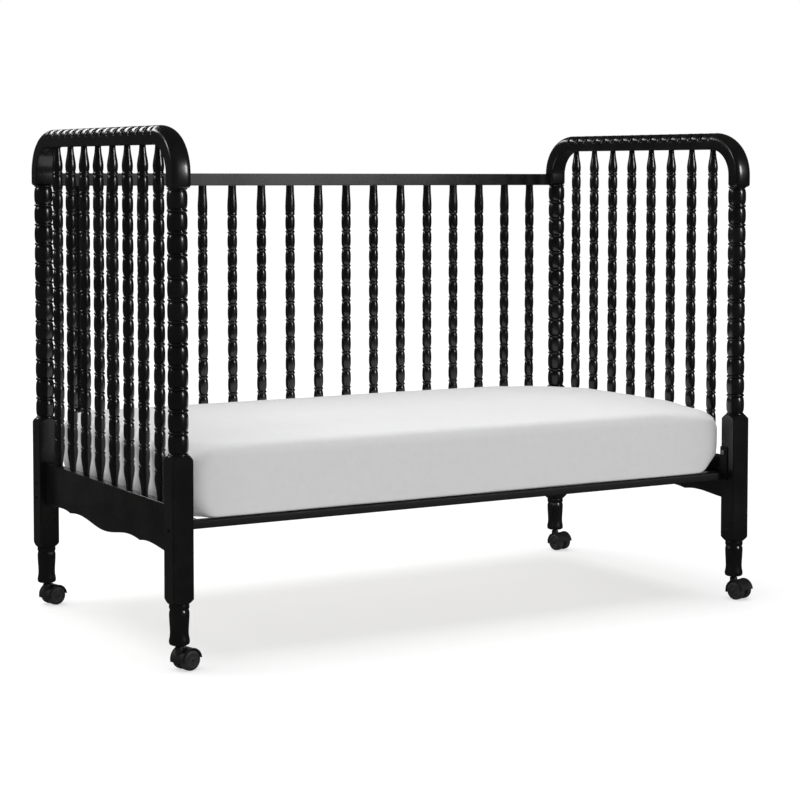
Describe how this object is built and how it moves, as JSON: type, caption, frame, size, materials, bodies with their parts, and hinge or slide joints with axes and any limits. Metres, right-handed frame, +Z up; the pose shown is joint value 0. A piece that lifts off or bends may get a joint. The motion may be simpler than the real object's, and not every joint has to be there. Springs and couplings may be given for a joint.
{
  "type": "baby crib",
  "caption": "Spool-turned wooden baby crib in day bed form: arched end frames, turned back spindles, open front, low mattress on a steel support and caster feet.",
  "frame": {"origin": "on the floor, midway between the four posts", "axes": "+X along the crib's length, +Y from the open front to the back panel, +Z up"},
  "size_m": [1.4109, 0.7954, 1.052],
  "materials": {
    "black_lacquer": "satin",
    "black_steel": "satin",
    "bright_steel": "satin",
    "caster_plastic": "matte",
    "wheel_plastic": "matte",
    "mattress_ticking": "matte",
    "sheet_cotton": "matte"
  },
  "bodies": {
    "frame": {"front_left_post": "black_lacquer", "back_left_post": "black_lacquer", "front_right_post": "black_lacquer", "back_right_post": "black_lacquer", "front_left_corner_block": "black_lacquer", "back_left_corner_block": "black_lacquer", "front_right_corner_block": "black_lacquer", "back_right_corner_block": "black_lacquer", "left_top_rail": "black_lacquer", "left_apron": "black_lacquer", "left_spindle_1": "black_lacquer", "left_spindle_2": "black_lacquer", "left_spindle_3": "black_lacquer", "left_spindle_4": "black_lacquer", "left_spindle_5": "black_lacquer", "left_spindle_6": "black_lacquer", "left_spindle_7": "black_lacquer", "left_spindle_8": "black_lacquer", "right_top_rail": "black_lacquer", "right_apron": "black_lacquer", "right_spindle_1": "black_lacquer", "right_spindle_2": "black_lacquer", "right_spindle_3": "black_lacquer", "right_spindle_4": "black_lacquer", "right_spindle_5": "black_lacquer", "right_spindle_6": "black_lacquer", "right_spindle_7": "black_lacquer", "right_spindle_8": "black_lacquer", "back_top_rail": "black_lacquer", "back_bottom_rail": "black_lacquer", "back_spindle_1": "black_lacquer", "back_spindle_2": "black_lacquer", "back_spindle_3": "black_lacquer", "back_spindle_4": "black_lacquer", "back_spindle_5": "black_lacquer", "back_spindle_6": "black_lacquer", "back_spindle_7": "black_lacquer", "back_spindle_8": "black_lacquer", "back_spindle_9": "black_lacquer", "back_spindle_10": "black_lacquer", "back_spindle_11": "black_lacquer", "back_spindle_12": "black_lacquer", "back_spindle_13": "black_lacquer", "back_spindle_14": "black_lacquer", "back_spindle_15": "black_lacquer", "back_spindle_16": "black_lacquer", "back_spindle_17": "black_lacquer", "mattress_support_frame": "black_steel", "spring_deck": "bright_steel"},
    "front_left_caster": {"front_left_caster_hood": "caster_plastic"},
    "front_left_wheels": {"front_left_caster_wheels": "wheel_plastic"},
    "back_left_caster": {"back_left_caster_hood": "caster_plastic"},
    "back_left_wheels": {"back_left_caster_wheels": "wheel_plastic"},
    "front_right_caster": {"front_right_caster_hood": "caster_plastic"},
    "front_right_wheels": {"front_right_caster_wheels": "wheel_plastic"},
    "back_right_caster": {"back_right_caster_hood": "caster_plastic"},
    "back_right_wheels": {"back_right_caster_wheels": "wheel_plastic"},
    "mattress": {"mattress": "mattress_ticking", "fitted_sheet": "sheet_cotton"}
  },
  "joints": [
    {"name": "front_left_caster_swivel", "type": "hinge", "parent": "frame", "child": "front_left_caster", "pos_m": [-0.68, -0.362, 0.05], "axis": [0, 0, 1], "continuous": true},
    {"name": "front_left_wheel_spin", "type": "hinge", "parent": "front_left_caster", "child": "front_left_wheels", "pos_m": [-0.66439, -0.35848, 0.021], "axis": [-0.2198, 0.9755, 0], "continuous": true},
    {"name": "back_left_caster_swivel", "type": "hinge", "parent": "frame", "child": "back_left_caster", "pos_m": [-0.68, 0.362, 0.05], "axis": [0, 0, 1], "continuous": true},
    {"name": "back_left_wheel_spin", "type": "hinge", "parent": "back_left_caster", "child": "back_left_wheels", "pos_m": [-0.66439, 0.36552, 0.021], "axis": [-0.2198, 0.9755, 0], "continuous": true},
    {"name": "front_right_caster_swivel", "type": "hinge", "parent": "frame", "child": "front_right_caster", "pos_m": [0.68, -0.362, 0.05], "axis": [0, 0, 1], "continuous": true},
    {"name": "front_right_wheel_spin", "type": "hinge", "parent": "front_right_caster", "child": "front_right_wheels", "pos_m": [0.68384, -0.37753, 0.021], "axis": [0.9707, 0.2402, 0], "continuous": true},
    {"name": "back_right_caster_swivel", "type": "hinge", "parent": "frame", "child": "back_right_caster", "pos_m": [0.68, 0.362, 0.05], "axis": [0, 0, 1], "continuous": true},
    {"name": "back_right_wheel_spin", "type": "hinge", "parent": "back_right_caster", "child": "back_right_wheels", "pos_m": [0.68384, 0.34647, 0.021], "axis": [0.9707, 0.2402, 0], "continuous": true},
    {"name": "mattress_lift", "type": "slide", "parent": "frame", "child": "mattress", "axis": [0, 0, 1], "range_m": [0, 0.8]}
  ]
}
